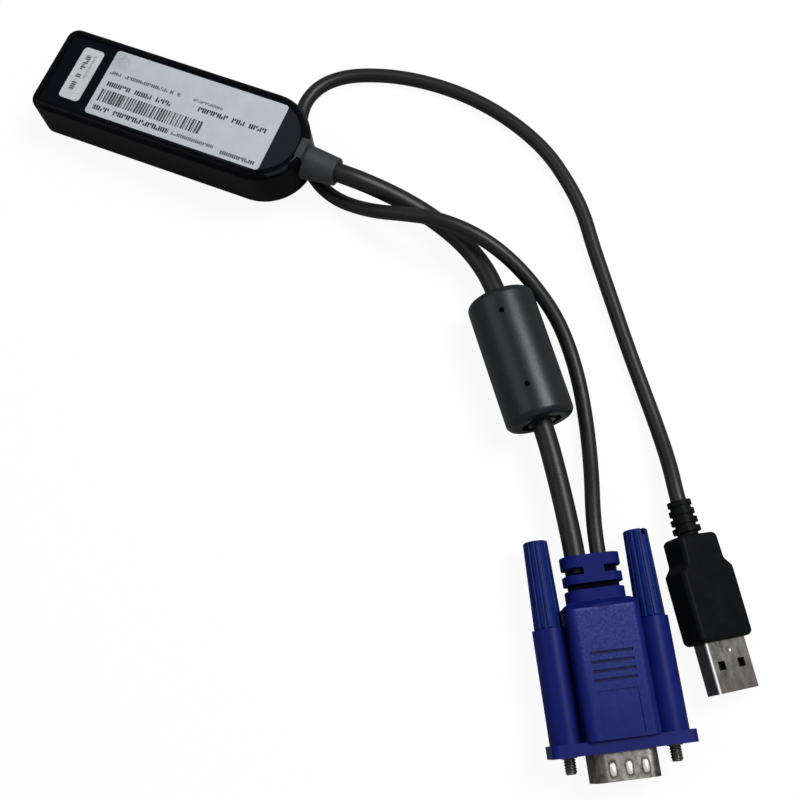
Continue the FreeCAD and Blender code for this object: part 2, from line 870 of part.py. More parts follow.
def round_d(piece, radius, start, end):
    """Round the four long edges of a D that spans two places along Y."""
    def wanted(edge):
        box = edge.BoundBox
        return lengthwise(edge) and near(box.YMin, start) and near(box.YMax, end)
    piece.round(wanted, radius)


def vga_shell():
    piece = Piece("video_shell")
    rear = "plate_start + plate_thick"
    rear_at = size("plate_start") + size("plate_thick")
    d_block(piece, "0", "-d_depth", rear)
    block(piece, "plate_half", ("plate_start", rear), "plate_rise")
    d_block(piece, "d_wall", "-d_depth - 1", f"{rear} + 1", cut=True)
    round_d(piece, "d_round - d_wall", -size("d_depth"), rear_at)
    round_d(piece, "d_round", -size("d_depth"), size("plate_start"))
    for _, side in SIDES:
        piece.rod("Y", "journal_radius + screw_hole_gap", (f"{side} * screw_side", "-1", "0"),
                  f"{rear} + 2", cut=True)
    return piece


def pin_field(piece, radius, start, end, cut=False):
    """Three rows of five pins, the middle row half a pitch across."""
    for row in (-1, 0, 1):
        shift = "pin_shift" if row else "-pin_shift"
        first = piece.rod("Y", radius, (f"{shift} - 2 * pin_pitch", start, f"{row} * pin_row"),
                          f"({end}) - ({start})", cut)
        piece.row([first], "X_Axis", f"{PIN_COUNT - 1} * pin_pitch", PIN_COUNT)


def vga_insulator():
    piece = Piece("video_insulator")
    d_block(piece, "d_wall + shell_gap", "insulator_start", "insulator_end")
    round_d(piece, "d_round - d_wall", size("insulator_start"), size("insulator_end"))
    pin_field(piece, "pin_radius + pin_gap", "insulator_start - 1", "pin_tail", cut=True)
    return piece


def vga_pins():
    piece = Piece("video_pins")
    pin_field(piece, "pin_radius", "-pin_reach", "pin_tail")
    return piece


def vga_inner_mould():
    piece = Piece("video_inner_mould")
    block(piece, "cavity_half - mould_gap", ("insulator_end", "cavity_end"), "cavity_rise - mould_gap")
    return piece


def thumbscrew(name, side, frame):
    """A fluted knob moulded on a long screw, turning in the hood's barrel."""
    knob = Piece(f"{name}_knob")
    knob.rod("Y", "knob_radius", ("0", "barrel_end", "0"), "knob_length",
             end_radius="knob_end_radius")
    knob.round(lambda edge: edge.Curve.TypeId == "Part::GeomCircle", "knob_round")
    taper = math.degrees(math.atan((size("knob_radius") - size("knob_end_radius"))
                                   / size("knob_length")))
    along_side = FreeCAD.Rotation(FreeCAD.Vector(1, 0, 0), -90 - taper)
    flute = knob.feature("SubtractiveCylinder",
                         {"Radius": "flute_radius", "Height": "knob_length + 2"},
                         ("0", "barrel_end - 1", "knob_radius + flute_radius - flute_sink"),
                         along_side)
    knob.ring([flute], "Y_Axis", FLUTE_COUNT)
    end = "barrel_end + knob_length"
    block(knob, "slot_width / 2", (f"{end} - slot_depth", f"{end} + 1"), "knob_radius + 1", cut=True)
    knob.rod("Y", "journal_radius", ("0", "barrel_end - 1", "0"), "knob_bore + 1", cut=True)

    screw = Piece(f"{name}_screw")
    screw.rod("Y", "journal_radius", ("0", "journal_start", "0"),
              "barrel_end + knob_bore - journal_start")
    screw.rod("Y", "screw_radius", ("0", "-screw_tip + screw_point", "0"),
              "screw_tip - screw_point + journal_start")
    screw.rod("Y", "screw_radius - screw_point", ("0", "-screw_tip", "0"), "screw_point",
              end_radius="screw_radius")
    turn = FreeCAD.Rotation(FreeCAD.Vector(0, 1, 0), size(f"{name}_knob_turn"))
    axis = FreeCAD.Placement(FreeCAD.Vector(side * size("screw_side"), 0, 0), turn)
    return [knob.place(frame.multiply(axis)), screw.place(frame.multiply(axis))]


# USB plug

def usb_frame():
    """The plug is rolled, and rests on the long edge of its grip."""
    roll = math.radians(size("usb_roll"))
    edge = size("grip_round")
    height = ((size("grip_half") - edge) * math.sin(roll)
              + (size("grip_thick") / 2 - edge) * math.cos(roll) + edge)
    turn = FreeCAD.Rotation(FreeCAD.Vector(0, 0, 1), size("usb_turn"))
    rolled = FreeCAD.Rotation(FreeCAD.Vector(0, 1, 0), size("usb_roll"))
    return FreeCAD.Placement(FreeCAD.Vector(size("usb_x"), size("usb_y"), height),
                             turn.multiply(rolled))


def usb_grip():
    piece = Piece("usb_overmould")
    half_side = [
        ("grip_half", "0"),
        ("grip_half", "grip_wide_end"),
        ("grip_narrow_half", "grip_step_end"),
        ("grip_end_half", "grip_end"),
    ]
    other_side = [(f"-{x}", y) for x, y in reversed(half_side)]
    piece.pad(piece.outline("XY_Plane", half_side + other_side), "grip_thick", middle=True)
    piece.round(upright, "grip_corner")
    top = size("grip_thick") / 2
    faces = [level(top), level(-top)]
    piece.round(lambda edge: any(test(edge) for test in faces), "grip_round")
    piece.rod("Y", "relief_core", ("0", "grip_end - 1", "0"), "relief_end - grip_end + 1")
    pitch = f"(relief_end - grip_end) / {RING_COUNT}"
    for i in range(RING_COUNT):
        share = i / (RING_COUNT - 1)
        piece.rod("Y", f"relief_first + (relief_last - relief_first) * {share}",
                  ("0", f"grip_end + {i + 1} * {pitch} - relief_ring", "0"), "relief_ring")
    half = "shell_width / 2 + shell_gap"
    piece.box((f"-({half})", half), ("-1", "shell_sunk"),
              ("-shell_height / 2 - shell_gap", "shell_height / 2 + shell_gap"), cut=True)
    piece.rod("Y", "usb_cable_radius + cable_gap", ("0", "relief_end - bore_depth", "0"),
              "bore_depth + 1", cut=True)
    return piece


def usb_shell():
    piece = Piece("usb_shell")
    block(piece, "shell_width / 2", ("-shell_reach", "shell_sunk"), "shell_height / 2")
    block(piece, "shell_width / 2 - shell_wall", ("-shell_reach - 1", "shell_sunk + 1"),
          "shell_height / 2 - shell_wall", cut=True)
    for _, side in SIDES:
        middle = f"{side} * window_side"
        piece.box((f"{middle} - window_size / 2", f"{middle} + window_size / 2"),
                  ("-window_middle - window_size / 2", "-window_middle + window_size / 2"),
                  ("-shell_height", "shell_height"), cut=True)
    return piece


TONGUE_LOW = "-shell_height / 2 + shell_wall + tongue_gap"


def usb_tongue():
    piece = Piece("usb_tongue")
    half = "shell_width / 2 - shell_wall - tongue_gap"
    piece.box((f"-({half})", half), ("-tongue_reach", "shell_sunk"),
              (TONGUE_LOW, f"{TONGUE_LOW} + tongue_thick"))
    return piece


def usb_contacts():
    piece = Piece("usb_contacts")
    top = f"{TONGUE_LOW} + tongue_thick"
    first = piece.box(("-1.5 * strip_pitch - strip_width / 2", "-1.5 * strip_pitch + strip_width / 2"),
                      ("-tongue_reach + 0.6", "-tongue_reach + 0.6 + strip_length"),
                      (top, f"{top} + strip_thick"))
    piece.row([first], "X_Axis", "3 * strip_pitch", 4)
    return piece


# Cables

VIDEO_ROUTE = [
    (41.5, 0.0, 11.9),
    (49.6, 0.1, 12.4),
    (57.4, 0.7, 10.8),
    (65.6, 1.3, 7.9),
    (74.0, 0.7, 5.7),
    (82.6, -1.9, 5.4),
    (89.6, -5.9, 6.9),
    (96.4, -11.4, 8.4),
    (103.2, -19.5, 8.9),
    (112.1, -30.1, 9.0),
    (120.6, -41.2, 8.9),
    (125.7, -47.6, 8.9),
    (130.2, -54.0, 8.6),
    (135.6, -62.0, 8.1),
    (141.3, -71.1, 8.0),
    (144.5, -76.8, 8.0),
]

USB_ROUTE = [
    (149.5, -74.0, 8.0),
    (145.9, -67.6, 8.0),
    (142.7, -60.2, 7.0),
    (140.1, -52.6, 5.2),
    (137.1, -44.9, 3.4),
    (133.5, -37.0, 2.3),
    (128.9, -28.6, 2.2),
    (123.3, -20.8, 3.2),
    (116.9, -14.3, 5.2),
    (109.2, -9.7, 8.2),
    (101.2, -6.3, 11.0),
    (93.0, -4.3, 13.4),
    (84.6, -3.6, 14.6),
    (76.4, -3.9, 14.5),
    (68.6, -4.8, 12.3),
    (61.4, -5.0, 8.6),
    (54.6, -4.2, 4.9),
    (48.0, -3.0, 2.6),
    (41.9, -0.7, 2.0),
    (36.3, 3.4, 2.0),
    (31.9, 8.9, 2.0),
    (28.7, 15.2, 2.0),
    (27.1, 21.8, 2.0),
    (28.6, 28.3, 2.0),
    (32.8, 33.4, 2.0),
    (39.1, 37.2, 2.0),
    (48.4, 40.4, 2.0),
    (58.6, 42.0, 2.0),
    (68.6, 42.1, 2.0),
    (78.8, 40.6, 2.0),
    (88.4, 37.7, 2.0),
    (97.4, 33.4, 2.0),
    (104.8, 27.6, 2.0),
    (112.2, 20.5, 2.0),
    (119.3, 10.1, 2.0),
    (128.2, -1.7, 2.0),
    (136.9, -13.4, 2.0),
    (144.9, -23.6, 2.1),
    (152.1, -33.3, 3.1),
    (157.2, -41.4, 5.2),
    (160.9, -48.4, 6.5),
    (164.1, -53.1, 6.5),
]


def rounded_path(points):
    """Straight runs joined by tangent arcs, each as large as its two runs allow."""
    share = 0.45
    points = [FreeCAD.Vector(*point) for point in points]
    edges, radii = [], []
    here = points[0]
    for before, corner, after in zip(points, points[1:], points[2:]):
        into, away = (corner - before), (after - corner)
        trim = share * min(into.Length, away.Length)
        half_turn = into.getAngle(away) / 2
        radius = trim / math.tan(half_turn)
        into.normalize()
        away.normalize()
        start, end = corner - into * trim, corner + away * trim
        inward = (away - into).normalize()
        middle = corner + inward * (radius / math.cos(half_turn) - radius)
        edges.append(Part.LineSegment(here, start).toShape())
        edges.append(Part.Arc(start, middle, end).toShape())
        radii.append(radius)
        here = end
    edges.append(Part.LineSegment(here, points[-1]).toShape())
    return Part.Wire(edges), radii


def cable(label, route, radius):
    """A plain round tube along a route."""
    path, radii = rounded_path(route)
    start = path.Edges[0]
    section = Part.Wire(Part.makeCircle(radius, start.valueAt(start.FirstParameter),
                                        start.tangentAt(start.FirstParameter)))
    tube = path.makePipeShell([section], True, True)
    expected = math.pi * radius ** 2 * path.Length
    print(f"{label}: length {path.Length:.1f}, tightest radius {min(radii):.1f}, "
          f"volume over section times length {tube.Volume / expected:.4f}")
    print("  radii", " ".join(f"{value:.0f}" for value in radii))
    made = doc.addObject("Part::Feature", label)
    made.Label = label
    made.Shape = tube
    return made


# Assembly

case_place = case_frame()
case_pieces = [lower_case(), upper_case(), label("main"), label("small"), jack_housing(),
               jack_shield(), jack_contacts(), circuit_board(), processor_chip(),
               video_driver_chip(), crystal(), capacitors(), cable_header(), header_plug(),
               cable_boot()]
bead_pieces = [ferrite_core(), ferrite_cover()]
video_pieces = [vga_hood(), vga_inner_mould(), vga_shell(), vga_insulator(), vga_pins()]
usb_pieces = [usb_grip(), usb_shell(), usb_tongue(), usb_contacts()]

nodes = [inner_wires(case_place)]
for group, frame in ((case_pieces, case_place), (bead_pieces, bead_frame()),
                     (video_pieces, video_frame()), (usb_pieces, usb_frame())):
    nodes += [piece.place(frame) for piece in group]
for name, side in SIDES:
    nodes += thumbscrew(name, side, video_frame())
nodes.append(cable("video_cable", VIDEO_ROUTE, size("video_cable_radius")))
nodes.append(cable("usb_cable", USB_ROUTE, size("usb_cable_radius")))

doc.recompute()
for item in doc.Objects:
    if "Invalid" in item.State or "Error" in item.State:
        raise RuntimeError(f"{item.Label} failed: {item.State}")
for node in nodes:
    if node.Shape.isNull() or not node.Shape.isValid():
        raise RuntimeError(f"{node.Label} has no valid shape")

os.makedirs("parts", exist_ok=True)
for node in nodes:
    node.Shape.exportStep(f"parts/{node.Label}.step")
    box = node.Shape.BoundBox
    print(f"{node.Label}: {len(node.Shape.Solids)} solids, volume {node.Shape.Volume:.1f}, "
          f"x {box.XMin:.1f} {box.XMax:.1f}, y {box.YMin:.1f} {box.YMax:.1f}, "
          f"z {box.ZMin:.2f} {box.ZMax:.2f}")
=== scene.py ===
import math

import bpy
import numpy as np
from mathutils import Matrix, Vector


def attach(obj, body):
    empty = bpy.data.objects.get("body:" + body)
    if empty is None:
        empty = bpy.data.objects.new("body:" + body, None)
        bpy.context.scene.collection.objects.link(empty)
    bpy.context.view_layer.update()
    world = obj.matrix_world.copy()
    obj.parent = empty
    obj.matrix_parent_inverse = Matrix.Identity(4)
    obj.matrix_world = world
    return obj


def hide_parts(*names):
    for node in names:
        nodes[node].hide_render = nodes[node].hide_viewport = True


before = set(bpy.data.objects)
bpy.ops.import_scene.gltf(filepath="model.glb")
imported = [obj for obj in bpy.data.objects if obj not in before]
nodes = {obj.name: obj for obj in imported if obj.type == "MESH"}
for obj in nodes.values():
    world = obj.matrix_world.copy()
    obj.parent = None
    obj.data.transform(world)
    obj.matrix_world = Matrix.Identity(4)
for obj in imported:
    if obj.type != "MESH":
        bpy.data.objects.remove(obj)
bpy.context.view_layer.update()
mm = 0.001
print("frame loaded:", len(nodes), "nodes")

# each rigid group's own axes: its origin in millimetres, then its turn about Z and its roll about Y
axesOf = {
    "case": {"centre": (-38.72, 0.0, -0.11), "turn": 0.0, "roll": -3.6},
    "bead": {"centre": (100.73, -16.33, 8.95), "turn": -51.4, "roll": 0.0},
    "video": {"centre": (168.1, -112.3, 8.0), "turn": 29.25, "roll": 0.0},
    "usb": {"centre": (181.5, -78.8, 6.497), "turn": 34.07, "roll": 23.7},
}


class Wire:
    # the output of a node, which takes part in sums written in Python
    def __init__(self, maker, socket):
        self.maker, self.socket = maker, socket

    def maths(self, operation, *values):
        return self.maker.node("Math", {"operation": operation}, dict(enumerate(values)))

    def __add__(self, other):
        return self.maths("ADD", self, other)

    def __radd__(self, other):
        return self.maths("ADD", other, self)

    def __sub__(self, other):
        return self.maths("SUBTRACT", self, other)

    def __rsub__(self, other):
        return self.maths("SUBTRACT", other, self)

    def __mul__(self, other):
        return self.maths("MULTIPLY", self, other)

    def __rmul__(self, other):
        return self.maths("MULTIPLY", other, self)

    def __truediv__(self, other):
        return self.maths("DIVIDE", self, other)

    def __rtruediv__(self, other):
        return self.maths("DIVIDE", other, self)

    def __pow__(self, other):
        return self.maths("POWER", self, other)

    def __rpow__(self, other):
        return self.maths("POWER", other, self)

    def __lt__(self, other):
        return self.maths("LESS_THAN", self, other)

    def __gt__(self, other):
        return self.maths("GREATER_THAN", self, other)

    def __abs__(self):
        return self.maths("ABSOLUTE", self)

    def floor(self):
        return self.maths("FLOOR", self)

    def fraction(self):
        return self.maths("FRACT", self)

    def within(self, low, high):
        # 1 between the two values, 0 outside
        return (self > low) * (self < high)

    def step(self, low, high):
        # 0 below low, 1 above high, and straight between
        return self.maker.node("MapRange", {"clamp": True}, {
            "Value": self, "From Min": low, "From Max": high, "To Min": 0.0, "To Max": 1.0})


class NodeTree:
    # makes the nodes of one tree and links them
    def __init__(self, tree):
        self.tree = tree

    def feed(self, socket, value):
        if isinstance(value, Wire):
            self.tree.links.new(value.socket, socket)
        elif isinstance(value, (tuple, list)) and len(value) == 3 and socket.type == "RGBA":
            socket.default_value = (*value, 1.0)
        else:
            socket.default_value = value

    def node(self, kind, settings=None, values=None, out=0):
        made = self.tree.nodes.new("ShaderNode" + kind)
        for name, value in (settings or {}).items():
            setattr(made, name, value)
        for name, value in (values or {}).items():
            self.feed(made.inputs[name], value)
        return Wire(self, made.outputs[out])


class Finish(NodeTree):
    # one procedural material: a Principled shader and the nodes that feed it
    def __init__(self, name, **looks):
        self.material = bpy.data.materials.new(name)
        self.material.use_nodes = True
        super().__init__(self.material.node_tree)
        self.shader = self.tree.nodes["Principled BSDF"]
        self.set(**looks)

    def set(self, **looks):
        # BaseColor=... sets or links the socket Base Color, and so on
        sockets = {socket.name.replace(" ", ""): socket for socket in self.shader.inputs}
        for name, value in looks.items():
            self.feed(sockets[name], value)

    def place(self, group=None):
        # object coordinates in millimetres, in the own axes of one rigid group
        here = self.node("TexCoord", out="Object")
        if group is None:
            return self.node("VectorMath", {"operation": "SCALE"}, {0: here, "Scale": 1 / mm})
        axes = axesOf[group]
        moved = self.node("VectorMath", {"operation": "SUBTRACT"},
                          {0: here, 1: tuple(v * mm for v in axes["centre"])})
        turned = self.node("VectorRotate", {"rotation_type": "Z_AXIS"},
                           {"Vector": moved, "Angle": math.radians(-axes["turn"])})
        turned = self.node("VectorRotate", {"rotation_type": "Y_AXIS"},
                           {"Vector": turned, "Angle": math.radians(-axes["roll"])})
        return self.node("VectorMath", {"operation": "SCALE"}, {0: turned, "Scale": 1 / mm})

    def stretch(self, vector, scales):
        return self.node("VectorMath", {"operation": "MULTIPLY"}, {0: vector, 1: scales})

    def split(self, vector):
        parts = self.node("SeparateXYZ", None, {0: vector}).socket.node
        return [Wire(self, parts.outputs[i]) for i in range(3)]

    def noise(self, vector, scale, detail=2.0, roughness=0.5):
        return self.node("TexNoise", None, {
            "Vector": vector, "Scale": scale, "Detail": detail, "Roughness": roughness})

    def chance(self, value):
        # an even random number from 0 to 1 for each whole value
        return self.node("TexWhiteNoise", {"noise_dimensions": "1D"}, {"W": value})

    def blend(self, share, first, second):
        return self.node("Mix", {"data_type": "RGBA"}, {0: share, 6: first, 7: second}, out=2)

    def bump(self, height, strength, distance, over=None):
        values = {"Height": height, "Strength": strength, "Distance": distance * mm}
        if over is not None:
            values["Normal"] = over
        return self.node("Bump", None, values)

    def drift(self, vector, scale, colour, spread):
        # a colour that wanders a little darker and lighter about its middle
        darker = tuple(c * (1 - spread) for c in colour)
        lighter = tuple(c * (1 + spread) for c in colour)
        return self.blend(self.noise(vector, scale).step(0.3, 0.7), darker, lighter)


def paint(finish, *names):
    # puts a finish on shown CAD nodes
    for name in names:
        slots = nodes[name].data.materials
        slots.clear()
        slots.append(finish.material)


def toFrame(points, group):
    # points in a group's own axes and millimetres, turned and moved to the frame in metres
    axes = axesOf[group]
    turn, roll = math.radians(axes["turn"]), math.radians(axes["roll"])
    aboutY = np.array([[math.cos(roll), 0, math.sin(roll)],
                       [0, 1, 0],
                       [-math.sin(roll), 0, math.cos(roll)]])
    aboutZ = np.array([[math.cos(turn), -math.sin(turn), 0],
                       [math.sin(turn), math.cos(turn), 0],
                       [0, 0, 1]])
    return (points @ (aboutZ @ aboutY).T + np.array(axes["centre"])) * mm


def closedSurface(name, rings, body, material):
    # a closed mesh from an array of rings (count, round, 3) in metres, with a fan at each end;
    # a list of such arrays makes one mesh of separate closed shells
    vertices, faces = [], []
    base = 0
    for shell in rings if isinstance(rings, list) else [rings]:
        count, around = shell.shape[:2]
        ends = np.stack([shell[0].mean(axis=0), shell[-1].mean(axis=0)])
        vertices.append(np.concatenate([shell.reshape(-1, 3), ends]))
        first, second = np.arange(around), (np.arange(around) + 1) % around
        along = (np.arange(count - 1) * around)[:, None]
        quads = np.stack([along + first, along + second, along + around + second, along + around + first], -1)
        low = np.stack([np.full(around, count * around), second, first], -1)
        last = (count - 1) * around
        high = np.stack([np.full(around, count * around + 1), last + first, last + second], -1)
        faces += (quads.reshape(-1, 4) + base).tolist() + (low + base).tolist() + (high + base).tolist()
        base += count * around + 2
    mesh = bpy.data.meshes.new(name)
    mesh.from_pydata(np.concatenate(vertices).tolist(), [], faces)
    mesh.polygons.foreach_set("use_smooth", np.ones(len(mesh.polygons), dtype=bool))
    mesh.materials.append(material)
    mesh.update()
    piece = bpy.data.objects.new(name, mesh)
    bpy.context.scene.collection.objects.link(piece)
    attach(piece, body)
    return piece


# camera, at the angle and distance that the plugs' known sizes give
cameraPlace = {
    "location": (0.1201, -0.1317, 0.2769),
    "turns": (17.76, 0.0, 22.38),
    "lens": 49.5,
}
cameraData = bpy.data.cameras.new("camera")
cameraData.lens = cameraPlace["lens"]
cameraData.sensor_width = 36
camera = bpy.data.objects.new("camera", cameraData)
camera.location = cameraPlace["location"]
camera.rotation_euler = [math.radians(v) for v in cameraPlace["turns"]]
bpy.context.scene.collection.objects.link(camera)
bpy.context.scene.camera = camera

# the two leads: control points in metres, the same as the tubes' corners
cables = {
    "videoCable": {
        "node": "video_cable",
        "stiffness": "stiff",
        "diameter": 0.0053,
        "length": 0.1407,
        "points": [
            (0.0415, 0.0, 0.0119), (0.0496, 0.0001, 0.0124), (0.0574, 0.0007, 0.0108),
            (0.0656, 0.0013, 0.0079), (0.0740, 0.0007, 0.0057), (0.0826, -0.0019, 0.0054),
            (0.0896, -0.0059, 0.0069), (0.0964, -0.0114, 0.0084), (0.1032, -0.0195, 0.0089),
            (0.1121, -0.0301, 0.0090), (0.1206, -0.0412, 0.0089), (0.1257, -0.0476, 0.0089),
            (0.1302, -0.0540, 0.0086), (0.1356, -0.0620, 0.0081), (0.1413, -0.0711, 0.0080),
            (0.1445, -0.0768, 0.0080),
        ],
    },
    "usbCable": {
        "node": "usb_cable",
        "stiffness": "limp",
        "diameter": 0.00394,
        "length": 0.3694,
        "points": [
            (0.1495, -0.0740, 0.0080), (0.1459, -0.0676, 0.0080), (0.1427, -0.0602, 0.0070),
            (0.1401, -0.0526, 0.0052), (0.1371, -0.0449, 0.0034), (0.1335, -0.0370, 0.0023),
            (0.1289, -0.0286, 0.0022), (0.1233, -0.0208, 0.0032), (0.1169, -0.0143, 0.0052),
            (0.1092, -0.0097, 0.0082), (0.1012, -0.0063, 0.0110), (0.0930, -0.0043, 0.0134),
            (0.0846, -0.0036, 0.0146), (0.0764, -0.0039, 0.0145), (0.0686, -0.0048, 0.0123),
            (0.0614, -0.0050, 0.0086), (0.0546, -0.0042, 0.0049), (0.0480, -0.0030, 0.0026),
            (0.0419, -0.0007, 0.0020), (0.0363, 0.0034, 0.0020), (0.0319, 0.0089, 0.0020),
            (0.0287, 0.0152, 0.0020), (0.0271, 0.0218, 0.0020), (0.0286, 0.0283, 0.0020),
            (0.0328, 0.0334, 0.0020), (0.0391, 0.0372, 0.0020), (0.0484, 0.0404, 0.0020),
            (0.0586, 0.0420, 0.0020), (0.0686, 0.0421, 0.0020), (0.0788, 0.0406, 0.0020),
            (0.0884, 0.0377, 0.0020), (0.0974, 0.0334, 0.0020), (0.1048, 0.0276, 0.0020),
            (0.1122, 0.0205, 0.0020), (0.1193, 0.0101, 0.0020), (0.1282, -0.0017, 0.0020),
            (0.1369, -0.0134, 0.0020), (0.1449, -0.0236, 0.0021), (0.1521, -0.0333, 0.0031),
            (0.1572, -0.0414, 0.0052), (0.1609, -0.0484, 0.0065), (0.1641, -0.0531, 0.0065),
        ],
    },
}


def layCable(name, settings):
    # a round tube along one smooth quadratic curve that its points pull; the points carry the radius
    curve = bpy.data.curves.new(name, "CURVE")
    curve.dimensions = "3D"
    spline = curve.splines.new("NURBS")
    spline.points.add(len(settings["points"]) - 1)
    for point, place in zip(spline.points, settings["points"]):
        point.co = (*place, 1.0)
        point.radius = settings["diameter"] / 2
    spline.order_u = 3
    spline.use_endpoint_u = True
    spline.resolution_u = 12
    curve.bevel_depth = 1.0  # times each point's radius
    curve.bevel_resolution = 8
    curve.use_fill_caps = True
    cable = bpy.data.objects.new(name, curve)
    bpy.context.scene.collection.objects.link(cable)
    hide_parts(settings["node"])
    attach(cable, "adapter")
    return cable


# finishes

caseLook = {
    "black": (0.003, 0.003, 0.0045),
    "recess": (0.014, 0.0175, 0.023),
    # the recess floor's colour at the jack end is painted shade, which fades out over the next span
    "darkEnd": (0.003, 0.0035, 0.006),
    "shadeOver": (14.0, 66.0),
    "recessInset": 2.45,
    "length": 78.5,
    "width": 27.0,
    "recessFloor": (13.6, 14.2),
    "ior": 1.13,
}


def finishCase(settings):
    # glossy black with a faint moulded ripple, and a satin floor in the label recess that painted shade
    # darkens towards the jack end
    look = Finish("glossCase", IOR=settings["ior"])
    spot = look.place("case")
    along, across, up = look.split(spot)
    inset = settings["recessInset"]
    recess = (along.within(inset, settings["length"] - inset)
              * (abs(across) < settings["width"] / 2 - inset) * up.within(*settings["recessFloor"]))
    ripple = look.noise(spot, 0.35, 1.0)
    dust = look.noise(spot, 3.0, 4.0, 0.7).step(0.55, 0.8)
    # painted shade: the recess floor darkens towards the jack end
    floor = look.blend(along.step(*settings["shadeOver"]), settings["darkEnd"], settings["recess"])
    look.set(
        BaseColor=look.blend(recess, look.drift(spot, 0.2, settings["black"], 0.2), floor),
        Roughness=0.13 + dust * 0.08 + recess * 0.3,
        Normal=look.bump(look.noise(spot, 6.0, 2.0) * recess + ripple * 0.4, 0.25, 0.05))
    paint(look, "lower_case", "upper_case")


# the labels' print: rows of plain dashes, each with its two ends along the label and its two edges
# across it, as shares of the label, then the length of a cell in millimetres, the share of a cell
# that is inked, and the ink's strength
printing = {
    "ink": (0.022, 0.024, 0.030),
    "cellsLost": 0.12,
    "wordsLost": 0.10,
    "thinBar": 0.25,
    "barSpread": 0.55,
}

labelLook = {
    "paper": (0.50, 0.535, 0.565),
    "rubbed": (0.22, 0.23, 0.24),
    "start": 16.5,
    "long": 52.6,
    "wide": 21.1,
    "rows": {
        "note": {"along": (0.02, 0.435), "across": (0.316, 0.366),
                 "cell": 0.58, "fill": 0.76, "ink": 0.85},
        "code": {"along": (0.50, 0.68), "across": (0.322, 0.362),
                 "cell": 0.50, "fill": 0.76, "ink": 0.75},
        "partNumber": {"along": (0.035, 0.415), "across": (0.474, 0.544),
                       "cell": 0.66, "fill": 0.76, "ink": 0.95},
        "title": {"along": (0.53, 0.95), "across": (0.412, 0.482),
                  "cell": 0.64, "fill": 0.76, "ink": 1.0},
        "bars": {"along": (0.03, 0.62), "across": (0.60, 0.79), "cell": 0.80, "fill": 0.0, "ink": 1.0},
        "serial": {"along": (0.03, 0.47), "across": (0.850, 0.920),
                   "cell": 0.66, "fill": 0.76, "ink": 1.0},
        "serialEnd": {"along": (0.49, 0.73), "across": (0.868, 0.916),
                      "cell": 0.56, "fill": 0.76, "ink": 0.8},
        "spare": {"along": (0.77, 0.97), "across": (0.898, 0.950),
                  "cell": 0.60, "fill": 0.76, "ink": 0.9},
    },
    "smudge": {"centre": (2.2, 3.0), "reach": 3.6},
}


def printedRow(look, along, across, row, length, width, seed):
    # a row is two courses of small cells, each left out by chance, with a wider gap now and then;
    # a row of bars is one course, and chance sets each bar's share of its cell
    top, bottom = (share * width for share in row["across"])
    cells = along / row["cell"]
    number = cells.floor() + seed
    box = along.within(row["along"][0] * length, row["along"][1] * length) * across.within(top, bottom)
    if row["fill"] == 0:
        bar = printing["thinBar"] + look.chance(number) * printing["barSpread"]
        return (cells.fraction() < bar) * box * row["ink"]
    course = ((across - top) * (2 / (bottom - top))).floor()
    keep = look.chance(number * 2 + course * 131) > printing["cellsLost"]
    word = look.chance((cells / 2.0).floor() + seed * 5) > printing["wordsLost"]
    return keep * word * (cells.fraction() < row["fill"]) * box * row["ink"]


def finishMainLabel(settings):
    # satin paper, slightly uneven, with dashes for its print and a rubbed grey corner
    look = Finish("mainLabelPaper")
    spot = look.place("case")
    x, y = look.split(spot)[:2]
    along, across = x - settings["start"], settings["wide"] / 2 - y
    ink = 0.0
    for seed, row in enumerate(settings["rows"].values()):
        ink = ink + printedRow(look, along, across, row, settings["long"], settings["wide"], 17 * seed)
    wear = look.noise(spot, 2.2, 4.0, 0.65)
    smudge = settings["smudge"]
    near = ((along - smudge["centre"][0]) ** 2 + (across - smudge["centre"][1]) ** 2) / smudge["reach"] ** 2
    rubbed = (1 - near.step(0.25, 1.0)) * look.noise(spot, 1.6, 5.0, 0.7).step(0.4, 0.62)
    paper = look.blend(rubbed * 0.55, look.drift(spot, 0.25, settings["paper"], 0.04), settings["rubbed"])
    look.set(
        BaseColor=look.blend(ink * (0.78 + wear * 0.44), paper, printing["ink"]),
        Roughness=0.42 + wear * 0.16,
        Normal=look.bump(look.noise(spot, 1.2, 3.0), 0.12, 0.05))
    paint(look, "main_label")


# its rows lie in the case's own millimetres, and a crease starts at a place and runs at an angle
smallLabelLook = {
    "paper": (0.55, 0.575, 0.59),
    "creased": (0.2, 0.2, 0.2),
    "creaseHalf": 0.22,
    "creaseLong": 3.4,
    "rows": {
        "code": {"along": (-5.6, 6.2), "across": (8.9, 10.3), "cell": 0.66, "fill": 0.76, "ink": 0.9},
        "part": {"along": (-1.2, 6.6), "across": (11.1, 11.85), "cell": 0.5, "fill": 0.72, "ink": 0.5},
    },
    "creases": {"first": (8.0, -4.6, 62.0), "second": (9.6, -6.9, 20.0)},
}


def finishSmallLabel(settings):
    # two rows of dashes that run across the case, and two faint creases near one end
    look = Finish("smallLabelPaper")
    spot = look.place("case")
    along, across = look.split(spot)[:2]
    ink = 0.0
    for seed, row in enumerate(settings["rows"].values()):
        ink = ink + printedRow(look, across, along, row, 1.0, 1.0, 60 + 31 * seed)
    crease = 0.0
    for x, y, angle in settings["creases"].values():
        sine, cosine = math.sin(math.radians(angle)), math.cos(math.radians(angle))
        off = abs((along - x) * sine - (across - y) * cosine).step(0.0, settings["creaseHalf"])
        travel = (along - x) * cosine + (across - y) * sine
        crease = crease + (1 - off) * travel.within(0.0, settings["creaseLong"])
    wear = look.noise(spot, 2.2, 4.0, 0.65)
    paper = look.blend(crease * 0.35, look.drift(spot, 0.3, settings["paper"], 0.05), settings["creased"])
    look.set(
        BaseColor=look.blend(ink * (0.75 + wear * 0.5), paper, printing["ink"]),
        Roughness=0.42 + wear * 0.16,
        Normal=look.bump(look.noise(spot, 1.2, 3.0) - crease, 0.15, 0.06))
    paint(look, "small_label")


